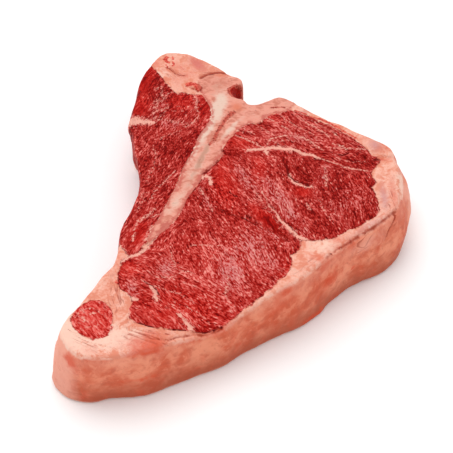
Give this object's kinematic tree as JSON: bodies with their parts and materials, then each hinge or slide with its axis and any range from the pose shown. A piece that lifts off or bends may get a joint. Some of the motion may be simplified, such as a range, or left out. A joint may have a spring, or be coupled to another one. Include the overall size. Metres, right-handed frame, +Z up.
{
  "type": "raw t-bone steak",
  "caption": "Thick raw beef steak cut across the loin, with a T-shaped bone between the tenderloin and the strip loin and a rim of pale fat.",
  "frame": {"origin": "middle of the steak's box, at the lower cut face that it lies on", "axes": "+Z up through the slice's thickness, +Y towards the backbone end, +X towards the fat-covered back"},
  "size_m": [0.1743, 0.2206, 0.0342],
  "materials": {
    "lean": "moist red muscle with fine grain and pale marbling",
    "fat": "waxy pinkish cream fat with faint red blotches",
    "bone": "sawn pale bone with a reddish marrow strip"
  },
  "bodies": {
    "root": {"bone": "bone", "tenderloin": "lean", "strip_loin_upper": "lean", "strip_loin_middle": "lean", "strip_loin_lower": "lean", "tail_eye": "lean", "fat_cap": "fat", "fat_chine": "fat"}
  },
  "joints": []
}
